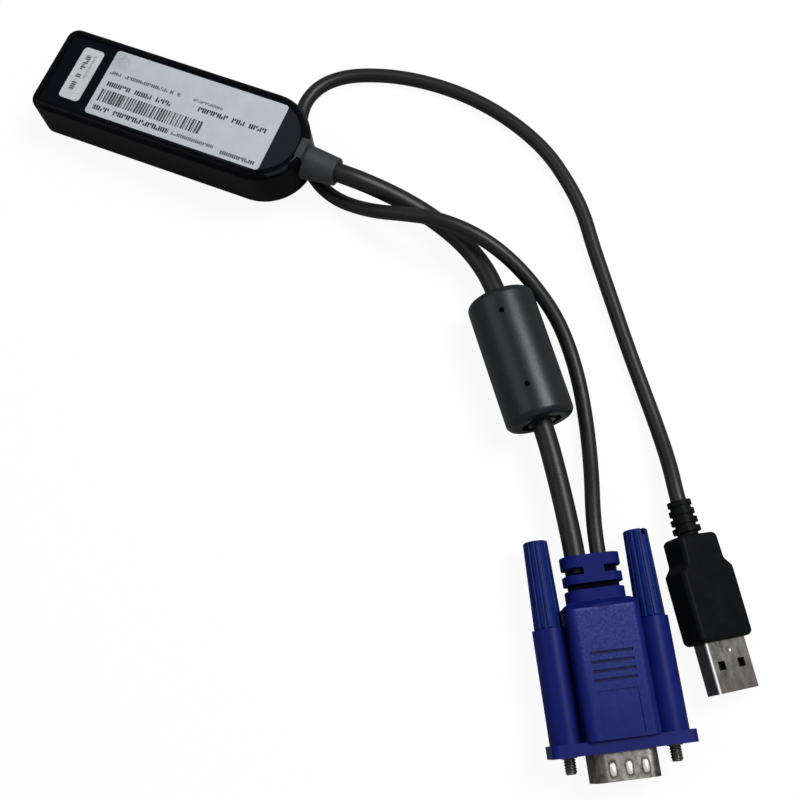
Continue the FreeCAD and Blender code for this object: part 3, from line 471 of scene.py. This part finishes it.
jacketLook = {
    "colour": (0.0095, 0.0098, 0.0105),
    "grain": 1.6,
    # painted shade: near black for the jacket inside the plug's neck
    "grime": (0.001, 0.001, 0.001),
    "inNeck": {"back": (36.0, 43.8), "half": 7.0},
    "ior": 1.38,
}


def finishJacket(settings, *cables):
    # satin cable jacket: dull dark grey with a fine drawn grain and a few rubbed patches,
    # and painted near black as shade where it lies in the plug's slotted neck
    look = Finish("cableJacket", IOR=settings["ior"])
    spot = look.place()
    rub = look.noise(spot, 0.12, 3.0, 0.6).step(0.35, 0.75)
    fine = look.noise(spot, settings["grain"], 3.0)
    jacket = look.blend(rub, settings["colour"], tuple(c * 1.35 for c in settings["colour"]))
    across, back = look.split(look.place("video"))[:2]
    neck = settings["inNeck"]
    # painted shade where the jacket lies inside the neck
    shadedInNeck = back.within(*neck["back"]) * (abs(across) < neck["half"])
    look.set(
        BaseColor=look.blend(shadedInNeck * 0.9, jacket, settings["grime"]),
        Roughness=0.34 + fine * 0.14 + shadedInNeck * 0.3,
        Normal=look.bump(fine, 0.22, 0.05))
    for cable in cables:
        cable.data.materials.append(look.material)


rubberLook = {
    "boot": (0.028, 0.0295, 0.033),
    "sleeve": (0.008, 0.0108, 0.0138),
    "sleeveIor": 1.42,
    "core": (0.012, 0.012, 0.014),
}


def finishRubbers(settings):
    # the boot at the case and the sleeve over the ferrite are dull moulded vinyl with a fine pebble,
    # and the ferrite itself is fired and coarse
    boot = Finish("bootVinyl")
    spot = boot.place("case")
    fine = boot.noise(spot, 2.4, 3.0)
    boot.set(BaseColor=boot.drift(spot, 0.4, settings["boot"], 0.15), Roughness=0.45 + fine * 0.15,
             Normal=boot.bump(fine, 0.2, 0.05))
    paint(boot, "cable_boot")

    sleeve = Finish("sleeveVinyl", IOR=settings["sleeveIor"])
    spot = sleeve.place("bead")
    fine = sleeve.noise(spot, 2.0, 4.0, 0.6)
    rub = sleeve.noise(spot, 0.25, 2.0)
    sleeve.set(BaseColor=sleeve.drift(spot, 0.3, settings["sleeve"], 0.2),
               Roughness=0.26 + fine * 0.12 + rub * 0.08, Normal=sleeve.bump(fine, 0.35, 0.07))
    paint(sleeve, "ferrite_cover")

    core = Finish("sinteredFerrite")
    spot = core.place("bead")
    fine = core.noise(spot, 5.0, 4.0, 0.7)
    core.set(BaseColor=core.drift(spot, 1.5, settings["core"], 0.25), Roughness=0.55 + fine * 0.2,
             Normal=core.bump(fine, 0.4, 0.05))
    paint(core, "ferrite_core")


videoLook = {
    "blue": (0.006, 0.012, 0.135),
    "panel": {"half": 6.6, "edge": 1.2, "back": (3.6, 33.4), "above": 5.0, "grain": 1.5},
    # the panel's pale grain specks grow towards its rear: partly the grain's own colour, partly a painted
    # sheen where the lamp's reflection falls
    "rubbed": (0.040, 0.057, 0.25),
    "rubbedOver": (8.0, 36.0),
    # painted shade on the floors of the grooves between the ribs
    "ribs": {"half": 5.4, "back": (16.2, 23.4), "up": (7.0, 7.88), "colour": (0.002, 0.003, 0.02)},
    # painted highlight: a paler line along the panel's rear top edge
    "wornEdge": {"back": (32.9, 33.45), "half": 7.1, "up": 7.9, "colour": (0.07, 0.085, 0.33)},
    "neck": {"start": 33.5, "colour": (0.0035, 0.009, 0.12)},
    # painted shade: near black inside the neck's slots and its groove
    "slots": {"spans": ((38.25, 39.65), (41.85, 43.55)), "top": 4.25, "colour": (0.0005, 0.0005, 0.002)},
    "knob": (0.0035, 0.015, 0.125),
    "insulator": (0.02, 0.045, 0.3),
    "innerMould": (0.55, 0.55, 0.52),
    "hoodIor": 1.19,
    "knobIor": 1.18,
}


def finishVideoPlug(settings):
    # blue moulded vinyl: eroded grain on the panel whose pale specks grow towards its rear as a painted
    # sheen, a painted highlight along the panel's rear top edge, painted shade in the grooves between the
    # ribs and in the neck's slots, and smoother on the barrels and knobs
    look = Finish("plugBlue", IOR=settings["hoodIor"])
    spot = look.place("video")
    across, back, up = look.split(spot)
    panelPlace, ribs, edge = settings["panel"], settings["ribs"], settings["wornEdge"]
    start, end = panelPlace["back"]
    panel = ((1 - abs(across).step(panelPlace["half"], panelPlace["half"] + panelPlace["edge"]))
             * back.step(start, start + 1) * (back < end) * (abs(up) > panelPlace["above"]))
    grain = look.noise(spot, panelPlace["grain"], 3.0, 0.6)
    wear = look.noise(spot, 0.5, 3.0)
    # painted sheen: the share of pale specks rises towards the panel's rear
    handled = panel * (0.05 + back.step(*settings["rubbedOver"]) * 0.95)
    # painted shade in the rib grooves
    grooveShade = (abs(across) < ribs["half"]) * back.within(*ribs["back"]) * abs(up).within(*ribs["up"])
    neck = back > settings["neck"]["start"]
    # painted shade inside the neck's slots and groove
    low, high = (back.within(*span) for span in settings["slots"]["spans"])
    slots = (low + high) * (abs(up) < settings["slots"]["top"])
    # painted highlight along the panel's rear top edge
    glintShare = (abs(up) > edge["up"]) * back.within(*edge["back"]) * (abs(across) < edge["half"])
    colour = look.blend(grain.step(0.3, 0.7) * handled, look.drift(spot, 0.35, settings["blue"], 0.10),
                        settings["rubbed"])
    colour = look.blend(glintShare * wear.step(0.3, 0.6) * 0.7, colour, edge["colour"])
    colour = look.blend(neck, colour, settings["neck"]["colour"])
    colour = look.blend(slots * 0.95, colour, settings["slots"]["colour"])
    look.set(
        BaseColor=look.blend(grooveShade * 0.75, colour, ribs["colour"]),
        Roughness=0.34 + panel * 0.08 + wear * 0.10 + neck * 0.22 + slots * 0.3,
        Normal=look.bump(grain * (0.25 + panel * 0.75), 0.3, 0.10))
    paint(look, "video_hood")

    knobs = Finish("knobBlue", IOR=settings["knobIor"])
    spot = knobs.place("video")
    fine = knobs.noise(spot, 1.5, 3.0)
    knobs.set(BaseColor=knobs.drift(spot, 0.5, settings["knob"], 0.12), Roughness=0.30 + fine * 0.12,
              Normal=knobs.bump(fine, 0.12, 0.05))
    paint(knobs, "left_knob", "right_knob")

    insulator = Finish("insulatorBlue")
    spot = insulator.place("video")
    insulator.set(BaseColor=insulator.drift(spot, 1.0, settings["insulator"], 0.1),
                  Roughness=0.4 + insulator.noise(spot, 2.0) * 0.1)
    paint(insulator, "video_insulator")


def finishInnerMould(settings):
    # milky moulding behind the D shell, a little cloudy
    look = Finish("innerMould")
    spot = look.place("video")
    cloud = look.noise(spot, 0.6, 3.0)
    look.set(BaseColor=look.drift(spot, 0.4, settings["innerMould"], 0.08), Roughness=0.35 + cloud * 0.2)
    paint(look, "video_inner_mould")


usbLook = {
    "black": (0.0045, 0.0048, 0.0055),
    "handled": (0.008, 0.0085, 0.0095),
    "gripIor": 1.14,
    "steel": (0.40, 0.375, 0.345),
    "stain": (0.13, 0.12, 0.105),
    "stainedFront": (-11.5, -5.0),
    # painted highlight: a near-white, hardly metallic strip along the shell's upper left edge
    "edge": {"across": (-5.7, -5.25), "up": (1.7, 1.95), "colour": (0.97, 0.96, 0.94)},
    "dimple": {"centre": (0.15, -2.4), "reach": 0.75},
    "tongue": (0.02, 0.02, 0.02),
}


def finishUsbPlug(settings):
    # near-black grip with a soft grain, and a plated shell that has dulled in patches and towards
    # its mouth, with a painted highlight along one edge and a small dimple in its upper face
    look = Finish("gripBlack", IOR=settings["gripIor"])
    spot = look.place("usb")
    grain = look.noise(spot, 2.2, 3.0, 0.6)
    rub = look.noise(spot, 0.35, 4.0, 0.6).step(0.45, 0.7)
    look.set(BaseColor=look.blend(rub * 0.6, settings["black"], settings["handled"]),
             Roughness=0.40 + grain * 0.15, Normal=look.bump(grain, 0.2, 0.06))
    paint(look, "usb_overmould")

    shell = Finish("usbShellSteel")
    spot = shell.place("usb")
    across, back, up = shell.split(spot)
    patches = shell.noise(shell.stretch(spot, (1.0, 0.45, 1.0)), 0.55, 5.0, 0.65)
    drawn = shell.noise(shell.stretch(spot, (4.0, 0.3, 4.0)), 1.5, 2.0)
    dimple, edge = settings["dimple"], settings["edge"]
    away = (across - dimple["centre"][0]) ** 2 + (back - dimple["centre"][1]) ** 2
    hollow = (away / dimple["reach"] ** 2).step(0.0, 1.0) * (up > 0)
    # painted highlight along the shell's upper left edge
    paintedEdgeGlint = (1 - across.step(*edge["across"])) * up.step(*edge["up"])
    dulled = shell.blend(patches.step(0.38, 0.66), settings["steel"], settings["stain"])
    dulled = shell.blend((1 - back.step(*settings["stainedFront"])) * 0.4, dulled, settings["stain"])
    shell.set(
        BaseColor=shell.blend(paintedEdgeGlint, dulled, edge["colour"]),
        Metallic=1 - paintedEdgeGlint * 0.95,
        Roughness=0.26 + patches * 0.22 + drawn * 0.06,
        Normal=shell.bump(hollow, 0.8, 0.25, over=shell.bump(drawn, 0.10, 0.03)))
    paint(shell, "usb_shell")

    tongue = Finish("tongueBlack")
    spot = tongue.place("usb")
    tongue.set(BaseColor=tongue.drift(spot, 0.8, settings["tongue"], 0.1),
               Roughness=0.4 + tongue.noise(spot, 2.0) * 0.15)
    paint(tongue, "usb_tongue")


# the three pressed bumps on the shell's upper face, in the plug's own axes
bumpShape = {
    "across": (-3.6, 0.2, 4.0),
    "middle": -3.0,
    "reach": 1.55,
    "half": 0.8,
    "rise": 0.42,
    "top": 4.58,
    "fullness": 0.6,
    "squareness": 0.7,
}

steelLook = {
    "nickel": (0.25, 0.245, 0.228),
    "dulled": (0.085, 0.083, 0.076),
    # painted shade in a ring about each bump
    "soot": (0.015, 0.015, 0.014),
    "screw": (0.17, 0.17, 0.165),
    "oiled": (0.09, 0.088, 0.085),
    # painted highlight: the bumps are near white and half metallic, a little dimmer in patches
    "bump": (0.92, 0.91, 0.88),
    "bumpWorn": (0.70, 0.69, 0.66),
}


def finishSteel(settings, bumps):
    # the D shell is dull nickel with drawing marks and a ring of painted shade about each bump, the
    # screws are oiled steel, and the bumps are painted near white as a highlight
    shell = Finish("nickelShell", Metallic=1.0)
    spot = shell.place("video")
    patches = shell.noise(spot, 0.5, 4.0, 0.6)
    drawn = shell.noise(shell.stretch(spot, (3.0, 0.3, 3.0)), 1.4, 2.0)
    across, back, up = shell.split(spot)
    rings = 0.0
    for place in bumps["across"]:
        off = abs((across - place) / bumps["half"]) ** 3.0
        away = abs((back - bumps["middle"]) / bumps["reach"]) ** 3.0
        rings = rings + (1 - (off + away).step(1.0, 3.2))
    nickel = shell.blend(patches.step(0.35, 0.65), settings["nickel"], settings["dulled"])
    # painted shade in a ring about each bump
    shell.set(BaseColor=shell.blend(rings * (up > 4) * 0.85, nickel, settings["soot"]),
              Roughness=0.24 + patches * 0.22, Normal=shell.bump(drawn + patches, 0.2, 0.05))
    paint(shell, "video_shell")

    screws = Finish("screwSteel", Metallic=1.0)
    spot = screws.place("video")
    oil = screws.noise(spot, 1.2, 3.0)
    screws.set(BaseColor=screws.blend(oil.step(0.35, 0.65), settings["screw"], settings["oiled"]),
               Roughness=0.30 + oil * 0.15)

    # painted highlight for the bumps
    rubbed = Finish("glintPaintedNickel", Metallic=0.5)
    spot = rubbed.place("video")
    glintShare = rubbed.noise(spot, 1.5, 3.0)
    rubbed.set(BaseColor=rubbed.blend(glintShare.step(0.35, 0.7), settings["bump"], settings["bumpWorn"]),
               Roughness=0.2 + glintShare * 0.15)
    return rubbed, screws


contactLook = {
    "gold": (0.83, 0.60, 0.24),
    "paleGold": (0.72, 0.50, 0.20),
    # painted shade for the strips seen through the shell's windows
    "tarnish": (0.02, 0.018, 0.014),
    "underWindows": (-7.6, -3.9),
}


def finishContacts(settings):
    # gold plate, a little uneven
    look = Finish("goldContact", Metallic=1.0)
    spot = look.place()
    spots = look.noise(spot, 1.5, 3.0)
    look.set(BaseColor=look.blend(spots.step(0.4, 0.7), settings["gold"], settings["paleGold"]),
             Roughness=0.22 + spots * 0.12)
    paint(look, "jack_contacts", "video_pins")

    # the flat strips are painted near black as shade under the shell's windows
    strips = Finish("goldStrip")
    back = strips.split(strips.place("usb"))[1]
    shadedUnderWindows = back.within(*settings["underWindows"])
    strips.set(BaseColor=strips.blend(shadedUnderWindows, settings["gold"], settings["tarnish"]),
               Metallic=1 - shadedUnderWindows, Roughness=0.24 + shadedUnderWindows * 0.3)
    paint(strips, "usb_contacts")


jackLook = {
    "nylon": (0.018, 0.018, 0.019),
    "tin": (0.60, 0.60, 0.58),
}


def finishJack(settings):
    # black nylon for the jack's housing, and rolled tin plate for its shield and the crystal's can
    nylon = Finish("jackNylon")
    spot = nylon.place("case")
    fine = nylon.noise(spot, 2.5, 3.0)
    nylon.set(BaseColor=nylon.drift(spot, 0.6, settings["nylon"], 0.15), Roughness=0.42 + fine * 0.15,
              Normal=nylon.bump(fine, 0.15, 0.05))
    paint(nylon, "jack_housing")

    tin = Finish("tinPlate", Metallic=1.0)
    spot = tin.place("case")
    rolled = tin.noise(tin.stretch(spot, (0.3, 4.0, 4.0)), 1.2, 3.0)
    tin.set(BaseColor=tin.blend(rolled, settings["tin"], tuple(c * 0.8 for c in settings["tin"])),
            Roughness=0.26 + rolled * 0.16, Normal=tin.bump(rolled, 0.1, 0.03))
    paint(tin, "jack_shield", "crystal")


boardLook = {
    "mask": (0.012, 0.105, 0.038),
    "track": (0.03, 0.20, 0.075),
    "pitch": 1.6,
    "chip": (0.022, 0.022, 0.024),
    "can": ((0.66, 0.66, 0.66), (0.5, 0.5, 0.51)),
    "header": (0.70, 0.66, 0.55),
    "firstWire": (0.45, 0.05, 0.04),
    "wires": ((1.1, (0.03, 0.20, 0.06)), (3.3, (0.03, 0.06, 0.35)),
              (-1.1, (0.03, 0.03, 0.03)), (-3.3, (0.62, 0.60, 0.55))),
}


def finishBoard(settings):
    # green solder mask over paler tracks, which run along the board and step now and then
    look = Finish("solderMask", CoatRoughness=0.2)
    spot = look.place("case")
    along, across = look.split(spot)[:2]
    lanes = (across + (look.chance((along / 7.0).floor()) - 0.5) * 3.0) / settings["pitch"]
    lane = lanes.floor()
    track = (lanes.fraction().within(0.38, 0.62) * (look.chance(lane + 9) > 0.3)
             * (look.chance(lane * 3 + (along / 11.0).floor()) > 0.35))
    look.set(BaseColor=look.blend(track, look.drift(spot, 0.4, settings["mask"], 0.1), settings["track"]),
             Roughness=0.3 + look.noise(spot, 1.5) * 0.1, CoatWeight=track * 0.3,
             Normal=look.bump(track, 0.3, 0.04))
    paint(look, "circuit_board")

    chips = Finish("chipEpoxy")
    spot = chips.place("case")
    fine = chips.noise(spot, 6.0, 3.0, 0.7)
    chips.set(BaseColor=chips.drift(spot, 0.8, settings["chip"], 0.15), Roughness=0.5 + fine * 0.2,
              Normal=chips.bump(fine, 0.25, 0.03))
    paint(chips, "processor_chip", "video_driver_chip")

    cans = Finish("capacitorCan", Metallic=1.0)
    spot = cans.place("case")
    drawn = cans.noise(cans.stretch(spot, (4.0, 4.0, 0.4)), 1.2, 2.0)
    cans.set(BaseColor=cans.blend(drawn, *settings["can"]), Roughness=0.25 + drawn * 0.15)
    paint(cans, "capacitors")

    nylon = Finish("headerNylon")
    spot = nylon.place("case")
    nylon.set(BaseColor=nylon.drift(spot, 0.5, settings["header"], 0.06),
              Roughness=0.4 + nylon.noise(spot, 2.0) * 0.15)
    paint(nylon, "cable_header", "header_plug")

    wires = Finish("wireInsulation")
    spot = wires.place("case")
    across = wires.split(spot)[1]
    colour = settings["firstWire"]
    for reach, own in settings["wires"]:  # each colour takes all wires from its reach outwards
        colour = wires.blend(across > reach if reach > 0 else across < reach, colour, own)
    wires.set(BaseColor=colour, Roughness=0.3 + wires.noise(spot, 1.5) * 0.15)
    paint(wires, "inner_wires")


# pieces that stand on the CAD shapes

screwShape = {
    "side": 12.495,
    "plain": 1.9,
    "crest": 1.42,
    "thread": 0.20,
    "pitch": 0.635,
    "tip": -3.15,
    "point": 0.4,
    "neck": 0.4,
    "shankRings": (14.0, 28.0),
    "end": 42.1,
    "around": 48,
    "perPitch": 14,
}


def makeScrew(name, side, settings, material):
    # a turned screw: its radius follows its length, and over the thread a ridge that winds once
    # a pitch stands on the root, full height on the crest and cut away towards the point
    turns = (settings["neck"] - settings["tip"]) / settings["pitch"]
    threaded = np.linspace(settings["tip"], settings["neck"] - 0.01, int(turns * settings["perPitch"]))
    shank = np.array([settings["neck"], settings["neck"] + 0.3, *settings["shankRings"],
                      settings["end"] - 0.2, settings["end"]])
    length = np.concatenate([threaded, shank])[:, None]
    angle = np.linspace(0, 2 * np.pi, settings["around"], endpoint=False)[None, :]
    wave = np.abs(((length / settings["pitch"] + angle / (2 * np.pi)) % 1.0) * 2 - 1)
    ridge = np.clip(wave * 1.5 - 0.25, 0, 1) * settings["thread"]
    root = settings["crest"] - settings["thread"]
    point = np.clip((length - settings["tip"]) / settings["point"], 0, 1)
    radius = np.where(length < settings["neck"], root - 0.2 * (1 - point) + ridge * point,
                      settings["plain"] + 0 * angle)
    radius = np.where(length >= settings["end"], settings["plain"] - 0.2, radius)
    ring = np.stack([side * settings["side"] + radius * np.cos(angle), length + 0 * angle,
                     -radius * np.sin(angle)], -1)
    piece = closedSurface(f"{name}Screw", toFrame(ring, "video"), f"{name}_thumbscrew",
                          material)
    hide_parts(f"{name}_screw")


def squaredOff(wave, power):
    # a sine or cosine whose size is raised to a power below 1, which makes a round plan squarer
    return np.sign(wave) * np.abs(wave) ** power


def makeShellBumps(settings, material):
    # each sprung bump is a long pressed blister: an ellipsoid that powers make fuller and squarer
    rise = np.linspace(0, np.pi, 14)[:, None]
    angle = np.linspace(0, 2 * np.pi, 32, endpoint=False)[None, :]
    spread = np.sin(rise) ** settings["fullness"]
    shells = []
    for across in settings["across"]:
        shells.append(toFrame(np.stack([
            across + settings["half"] * spread * squaredOff(np.cos(angle), settings["squareness"]),
            settings["middle"]
            + settings["reach"] * spread * squaredOff(np.sin(angle), settings["squareness"]),
            settings["top"] + settings["rise"] * np.cos(rise) + 0 * angle], -1)[::-1], "video"))
    closedSurface("videoShellBumps", shells, "adapter", material)


# floor, world and lamps
studio = {
    "floorSide": 3.0,
    "floorColour": (0.22, 0.22, 0.22),
    "floorPale": (0.92, 0.92, 0.92),
    "floorShown": 0.93,
    "floorInGloss": 0.06,
    "roomInGloss": 0.06,
    "ambient": 0.24,
    "lamps": {
        "overhead": {"place": (0.34, 0.26, 0.74), "aim": (0.09, -0.03, 0.0), "size": 0.34, "power": 5.4},
        "left": {"place": (-0.45, -0.15, 0.50), "aim": (0.05, -0.03, 0.0), "size": 0.4, "power": 0.6},
    },
}


def makeFloor(settings):
    # a wide flat sheet at the ground, which the camera sees nearly white, with the shadow kept
    side = settings["floorSide"]
    corners = [(-side, -side, 0.0), (side, -side, 0.0), (side, side, 0.0), (-side, side, 0.0)]
    mesh = bpy.data.meshes.new("floor")
    mesh.from_pydata(corners, [], [(0, 1, 2, 3)])
    floor = bpy.data.objects.new("floor", mesh)
    bpy.context.scene.collection.objects.link(floor)
    look = Finish("floorPaper", Roughness=0.9)
    direct = look.node("LightPath", out="Is Camera Ray")
    look.set(BaseColor=look.blend(direct, settings["floorColour"], settings["floorPale"]))
    seen = direct * settings["floorShown"]
    mirrored = look.node("LightPath", out="Is Glossy Ray") * settings["floorInGloss"]
    through = look.node("LightPath", out="Is Transmission Ray") * settings["floorShown"]
    glow = look.node("Emission", None, {"Color": (1.0, 1.0, 1.0), "Strength": 1.0})
    lit = Wire(look, look.shader.outputs[0])
    mixed = look.node("MixShader", None, {0: seen + mirrored + through, 1: lit, 2: glow})
    look.feed(look.tree.nodes["Material Output"].inputs["Surface"], mixed)
    mesh.materials.append(look.material)


def lightWorld(settings):
    # an even room that the camera sees as white and the glosses see a little brighter than it lights
    world = bpy.data.worlds.new("room")
    bpy.context.scene.world = world
    world.use_nodes = True
    room = NodeTree(world.node_tree)
    seen = (room.node("LightPath", out="Is Camera Ray") + room.node("LightPath", out="Is Transmission Ray")
            + room.node("LightPath", out="Is Glossy Ray") * settings["roomInGloss"])
    background = room.tree.nodes["Background"]
    room.feed(background.inputs["Color"], (1.0, 1.0, 1.0))
    room.feed(background.inputs["Strength"], settings["ambient"] + seen * (1 - settings["ambient"]))


def hangLamp(name, settings):
    # a square area lamp, turned to face its aim
    lamp = bpy.data.lights.new(name, "AREA")
    lamp.shape = "SQUARE"
    lamp.size = settings["size"]
    lamp.energy = settings["power"]
    holder = bpy.data.objects.new(name, lamp)
    holder.location = settings["place"]
    aim = Vector(settings["aim"]) - Vector(settings["place"])
    holder.rotation_euler = aim.to_track_quat("-Z", "Y").to_euler()
    bpy.context.scene.collection.objects.link(holder)


videoCable = layCable("videoCable", cables["videoCable"])
usbCable = layCable("usbCable", cables["usbCable"])
print("leads laid")

finishCase(caseLook)
finishMainLabel(labelLook)
finishSmallLabel(smallLabelLook)
finishJacket(jacketLook, videoCable, usbCable)
finishRubbers(rubberLook)
finishVideoPlug(videoLook)
finishInnerMould(videoLook)
finishUsbPlug(usbLook)
finishContacts(contactLook)
finishJack(jackLook)
finishBoard(boardLook)
bumpGlintFinish, screwFinish = finishSteel(steelLook, bumpShape)
print("finishes made")

makeScrew("left", -1, screwShape, screwFinish.material)
makeScrew("right", 1, screwShape, screwFinish.material)
makeShellBumps(bumpShape, bumpGlintFinish.material)
print("screws and bumps made")

makeFloor(studio)
lightWorld(studio)
for name, settings in studio["lamps"].items():
    hangLamp(name, settings)
bpy.context.scene.view_settings.view_transform = "Standard"
print("studio lit")
